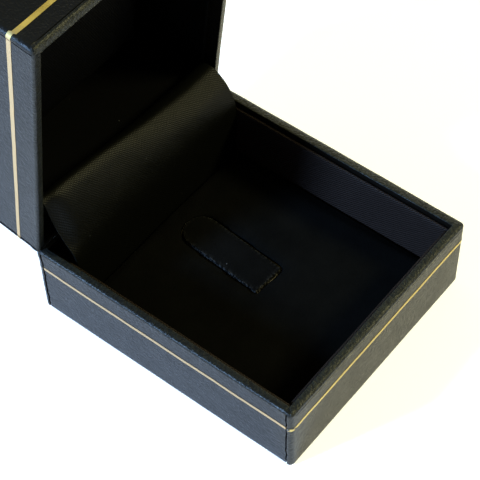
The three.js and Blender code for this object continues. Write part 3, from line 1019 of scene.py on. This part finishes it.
def puffUp(obj, sizes, isHeld):
    # runs the cloth under pressure, holding the back, and caps how far a point may move
    rest = [v.co.copy() for v in obj.data.vertices]
    held = obj.vertex_groups.new(name="held")
    held.add([i for i, co in enumerate(rest) if isHeld(co * 1000 / puffScale)], 1.0, "REPLACE")
    cloth = obj.modifiers.new("cloth", "CLOTH")
    settings = cloth.settings
    settings.quality = 6
    settings.mass = 0.3
    settings.tension_stiffness = sizes["tension"]
    settings.compression_stiffness = sizes["tension"]
    settings.shear_stiffness = sizes["shear"]
    settings.bending_stiffness = sizes["bend"]
    settings.use_pressure = True
    settings.uniform_pressure_force = sizes["pressure"]
    settings.vertex_group_mass = "held"
    settings.effector_weights.gravity = 0
    cloth.collision_settings.use_collision = False
    cloth.collision_settings.use_self_collision = False
    cloth.point_cache.frame_start = 1
    cloth.point_cache.frame_end = sizes["frames"]
    for step in range(1, sizes["frames"] + 1):
        scene.frame_set(step)
    shaped = obj.evaluated_get(bpy.context.evaluated_depsgraph_get())
    puffed = [v.co.copy() for v in shaped.data.vertices]
    obj.modifiers.clear()
    scene.frame_set(1)
    limit = sizes["cap"] * puffScale / 1000
    for v, start, end in zip(obj.data.vertices, rest, puffed):
        move = end - start
        if move.length > 1e-9:
            move *= limit * math.tanh(move.length / limit) / move.length
        v.co = start + move


def backToSize(obj):
    # the puffed mesh as a bmesh in millimetres
    bm = bmesh.new()
    bm.from_mesh(obj.data)
    bm.transform(Matrix.Scale(1000 / puffScale, 4))
    bpy.data.objects.remove(obj)
    return bm


velvetPadSizes = {
    "voxel": 0.42, "pressure": 3.0, "tension": 12.0, "shear": 6.0, "bend": 0.8, "cap": 0.45,
    "frames": 12, "heldUpTo": 0.3, "softFrom": 0.4, "unevenness": 0.05,
}


def velvetPad():
    sizes = velvetPadSizes
    node = frame["nodes"]["pad_velvet"]
    low, high = nodeBox("pad_velvet")
    bm = bmesh.new()
    bm.from_mesh(node.data)
    bm.transform(toMillimetres)
    bmesh.ops.remove_doubles(bm, verts=bm.verts[:], dist=1e-4)
    obj = cushionFrom("pad_velvet_face", bm, sizes["voxel"])
    puffUp(obj, sizes, lambda co: co.z < low.z + sizes["heldUpTo"])
    bm = backToSize(obj)
    relax(bm, 1)
    for v in bm.verts:
        if v.co.z > low.z + sizes["softFrom"]:
            v.co.z += sizes["unevenness"] * swell(v.co, 7.0, 2.0)
    keepInside(bm, low, high)
    piece = finishPiece("pad_velvet_face", bm, padVelvet, "base", ["pad_velvet"], sharp=60)
    return piece


velvetPad()
print("velvet pad made")


lidPadSizes = {
    "voxel": 0.8, "shrink": 0.9, "pressure": 4.0, "tension": 8.0, "shear": 4.0, "bend": 0.5,
    "cap": 1.5, "frames": 20, "heldUpTo": 0.5, "cornerRound": 0.8, "roomToPuff": 1.2,
}


def lidPad():
    sizes = lidPadSizes
    low, high = nodeBox("lid_pad", lidPlace)
    inner = Vector((sizes["shrink"], sizes["shrink"], 0))
    bm = cubeBetween(low + inner, high - inner - Vector((0, 0, sizes["roomToPuff"])))
    roundEdges(bm, bm.edges[:], sizes["cornerRound"], 3)
    obj = cushionFrom("lid_pad_satin", bm, sizes["voxel"])
    puffUp(obj, sizes, lambda co: co.z < low.z + sizes["heldUpTo"])
    bm = backToSize(obj)
    relax(bm, 2)
    keepInside(bm, low, high)
    mapCloth(bm, 0.2)
    piece = finishPiece("lid_pad_satin", bm, lidShadedSatin, "lid", ["lid_pad"], lidPlace,
                        sharp=60, subdivide=1)
    return piece


lidPad()
print("lid pad made")


# Ring tongue: the velvet on the lifting flap of card

tongueSizes = {
    "origin": (1.4, -2.6), "turn": math.radians(-4), "width": 6.76, "length": 19.24,
    "edge": 0.25, "lift": 0.3, "round": 0.18, "step": 0.8, "fluffReach": 0.3, "crown": 0.12,
    "foldDepth": 0.1, "foldAt": 1.1, "foldWidth": 0.35, "unevenness": 0.04,
}


def tongueFace():
    sizes = tongueSizes
    low, high = nodeBox("tongue_velvet")
    half = sizes["width"] / 2
    bm = cubeBetween((-half, 0, low.z), (half, sizes["length"], high.z))
    tip = [
        e for e in bm.edges
        if all(v.co.y > sizes["length"] - 0.01 for v in e.verts)
        and abs(e.verts[0].co.z - e.verts[1].co.z) > 0.1
    ]
    roundEdges(bm, tip, half - 0.01, 14)
    bmesh.ops.remove_doubles(bm, verts=bm.verts[:], dist=0.05)
    top = next(f for f in bm.faces if f.normal.z > 0.9)
    bmesh.ops.inset_region(bm, faces=[top], thickness=sizes["edge"], use_even_offset=True)
    rim = [e for e in bm.edges if all(v.co.z > high.z - 0.01 for v in e.verts)
           and e.is_manifold and e.calc_face_angle(0) > 1]
    roundEdges(bm, rim, sizes["round"], 3)
    cutAcross(bm, 1, evenSteps(0, sizes["length"], sizes["step"]))
    cutAcross(bm, 0, evenSteps(-half, half, sizes["step"]))
    fluff = bm.verts.layers.float.new("fluff")
    for v in bm.verts:
        inFromSide = half - abs(v.co.x)
        beyond = v.co.y - (sizes["length"] - half)
        if beyond > 0:
            inFromSide = half - math.hypot(v.co.x, beyond)
        inFromSide = min(inFromSide, max(v.co.y, 0))
        v[fluff] = fade(inFromSide, sizes["fluffReach"])
        if v.co.z > low.z + 0.3:
            # it rises towards its free end, is a little crowned, and dips along its fold
            share = v.co.y / sizes["length"]
            v.co.z += sizes["lift"] * share + sizes["crown"] * min(1, inFromSide / 0.8)
            fold = math.exp(-((v.co.y - sizes["foldAt"]) / sizes["foldWidth"]) ** 2)
            v.co.z -= sizes["foldDepth"] * fold
        v.co.z += sizes["unevenness"] * swell(v.co, 3.0, 8.0)
    place = Matrix.Translation((*sizes["origin"], 0)) @ Matrix.Rotation(sizes["turn"], 4, "Z")
    bm.transform(place)
    return finishPiece("tongue_velvet_face", bm, tongueVelvet, "tongue",
                       ["tongue_velvet"], sharp=50)


tongueFace()
print("tongue made")


# Satin flap over the hinge. Each side follows its own curve of (y, z), so the flap is twisted.

flapSizes = {
    "halfWidth": 21.35, "thickness": 0.45, "across": 56, "along": 70,
    "left": [(20.6, 1.9), (20.4, 7.0), (20.2, 11.8), (20.25, 15.0), (20.9, 18.0), (22.2, 21.2),
             (23.8, 24.4), (25.4, 26.7), (27.1, 26.9), (28.3, 24.4), (28.74, 20.0)],
    "right": [(20.6, 1.9), (20.4, 7.0), (20.1, 11.8), (20.05, 15.2), (20.45, 18.0), (21.5, 20.2),
              (23.0, 21.9), (24.9, 23.1), (26.9, 23.0), (28.3, 21.8), (28.74, 19.8)],
    "curl": [(20.6, 1.9), (20.4, 7.0), (20.0, 11.8), (19.95, 14.8), (20.6, 16.9), (22.0, 18.5),
             (23.7, 20.8), (25.0, 23.6), (25.8, 25.9), (27.2, 26.7), (28.3, 24.3), (28.74, 20.0)],
    "curlReach": 2.0,
    "billow": 0.22,
}


def smoothPath(points, count):
    # evenly spaced points on a smooth curve through the given ones
    given = [Vector((0, y, z)) for y, z in points]
    ends = [2 * given[0] - given[1], *given, 2 * given[-1] - given[-2]]
    fine = []
    for a, b, c, d in zip(ends, ends[1:], ends[2:], ends[3:]):
        for k in range(16):
            t = k / 16
            fine.append(0.5 * (2 * b + (c - a) * t + (2 * a - 5 * b + 4 * c - d) * t ** 2
                               + (3 * b - 3 * c + d - a) * t ** 3))
    fine.append(given[-1])
    reach = [0.0]
    for a, b in zip(fine, fine[1:]):
        reach.append(reach[-1] + (b - a).length)
    path, i = [], 0
    for k in range(count + 1):
        goal = reach[-1] * k / count
        while i < len(reach) - 2 and reach[i + 1] < goal:
            i += 1
        share = (goal - reach[i]) / (reach[i + 1] - reach[i])
        path.append(fine[i].lerp(fine[i + 1], share))
    return path, reach[-1]


def flapSurface():
    sizes = flapSizes
    rows = sizes["along"]
    left, leftLength = smoothPath(sizes["left"], rows)
    right, rightLength = smoothPath(sizes["right"], rows)
    curl = smoothPath(sizes["curl"], rows)[0]
    length = (leftLength + rightLength) / 2
    bm = bmesh.new()
    bmesh.ops.create_grid(bm, x_segments=sizes["across"], y_segments=rows, size=1)
    layer = bm.loops.layers.uv.new("cloth")
    flat = {}
    for v in bm.verts:
        side = (v.co.x + 1) / 2
        row = round((v.co.y + 1) / 2 * rows)
        share = row / rows
        point = left[row].lerp(right[row], side * side * (3 - 2 * side))
        x = (2 * side - 1) * sizes["halfWidth"]
        point = point.lerp(curl[row], math.exp(-((x + sizes["halfWidth"]) / sizes["curlReach"]) ** 2))
        flat[v.index] = (x, share * length)
        middle = math.sin(math.pi * share) ** 2
        puff = sizes["billow"] * middle * (swell((x, share * length, 0), 9.0, 4.0)
                                           + 0.4 * swell((x, share * length, 0), 3.0, 6.0))
        v.co = Vector((x, point.y - puff * 0.7, point.z + puff))
    bm.verts.index_update()
    for face in bm.faces:
        for loop in face.loops:
            loop[layer].uv = flat[loop.vert.index]
    bm.normal_update()
    middleFace = min(bm.faces, key=lambda f: f.calc_center_median().length)
    if middleFace.normal.y > 0:
        bmesh.ops.reverse_faces(bm, faces=bm.faces[:])
    return bm, length


flapMesh, flapLength = flapSurface()
flap = finishPiece("hinge_flap_satin", flapMesh, flapSatin, None, ["hinge_flap"],
                   wall=flapSizes["thickness"], sharp=60)
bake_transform(flap)
print("hinge flap made, length", round(flapLength, 2), "mm")


# Finishes of the pieces kept from the frame

keptNodes = (
    (mouldedShell, ("base_shell", "lid_shell")),
    (blackPaper, ("base_bottom_cover",)),
    (foamSheet, ("pad_foam",)),
    (greyBoard, ("pad_board", "tongue_card", "lid_pad_board")),
    (plainSteel, ("hinge_leaf_base", "hinge_leaf_lid", "hinge_pin", "rivet_base_left",
                  "rivet_base_right", "rivet_lid_left", "rivet_lid_right", "snap_spring",
                  "rivet_spring")),
)
for material, nodes in keptNodes:
    for node in nodes:
        slots = frame["nodes"][node].data.materials
        slots.clear()
        slots.append(material)
    print(material.name, "put on", len(nodes), "kept nodes")


# Floor, light and camera

floorHalf = 2.5


def addFloor():
    bm = bmesh.new()
    bmesh.ops.create_grid(bm, x_segments=8, y_segments=8, size=floorHalf)
    floor = addObject("floor", meshFrom("floor", bm))
    floor.data.materials.append(makeFloorFinish())


lightSetup = {
    "sides": {"cool": (0.6, 0.8, 1.15), "warm": (1.05, 1.0, 0.72), "above": (1.15, 0.97, 0.34),
              "behind": 1.7, "front": 0.15, "overhead": 0.18},
    "coolLeft": {"from": (-0.68, 0.34, 0.42), "size": 0.15, "power": 17.0, "colour": (0.37, 0.61, 1.0)},
    "warmRight": {"from": (0.42, -0.5, 0.6), "size": 0.2, "power": 7.5, "colour": (0.98, 0.92, 0.48)},
}


def addWorld(sides):
    # pale round the sides, cool to the left and warm to the right, and dark overhead
    world = bpy.data.worlds.new("studio")
    world.use_nodes = True
    tree = world.node_tree
    coords = addNode(tree, "ShaderNodeTexCoord").outputs["Generated"]
    split = addNode(tree, "ShaderNodeSeparateXYZ", {"Vector": coords}).outputs
    tint = blendColours(tree, ramp(tree, split["X"], -0.8, 0.8), sides["cool"], sides["warm"])
    tint = blendColours(tree, ramp(tree, split["Z"], 0.4, 0.75), tint, sides["above"])
    low = ramp(tree, split["Y"], -0.2, 0.25, sides["front"], sides["behind"])
    strength = ramp(tree, split["Z"], 0.15, 0.7, low, sides["overhead"])
    sky = tree.nodes["Background"].inputs
    setInput(tree, sky["Color"], tint)
    setInput(tree, sky["Strength"], strength)
    scene.world = world


def addLights(setup):
    addWorld(setup["sides"])
    for name in ("coolLeft", "warmRight"):
        facts = setup[name]
        lamp = bpy.data.lights.new(name, "AREA")
        lamp.shape = "DISK"
        lamp.size = facts["size"]
        lamp.energy = facts["power"]
        lamp.color = facts["colour"]
        obj = addObject(name, lamp)
        place = Vector(facts["from"])
        obj.rotation_euler = (-place).to_track_quat("-Z", "Y").to_euler()
        obj.location = place


cameraSetup = {
    "place": (-0.13728, -0.11357, 0.24754), "target": (0.00769, 0.00883, 0.0),
    "lens": 130.39, "sensor": 36.0, "roll": math.radians(-2.31),
}


def addCamera(setup):
    data = bpy.data.cameras.new("camera")
    data.lens = setup["lens"]
    data.sensor_width = setup["sensor"]
    data.clip_start = 0.01
    data.clip_end = 20
    camera = addObject("camera", data)
    place = Vector(setup["place"])
    look = (Vector(setup["target"]) - place).normalized()
    right = look.cross(Vector((0, 0, 1))).normalized()
    turn = Matrix((right, right.cross(look), -look)).transposed().to_4x4()
    camera.matrix_world = Matrix.Translation(place) @ turn @ Matrix.Rotation(setup["roll"], 4, "Z")
    scene.camera = camera


addFloor()
addLights(lightSetup)
addCamera(cameraSetup)
scene.view_settings.view_transform = "Standard"
print("floor, light and camera placed")

bpy.context.view_layer.update()
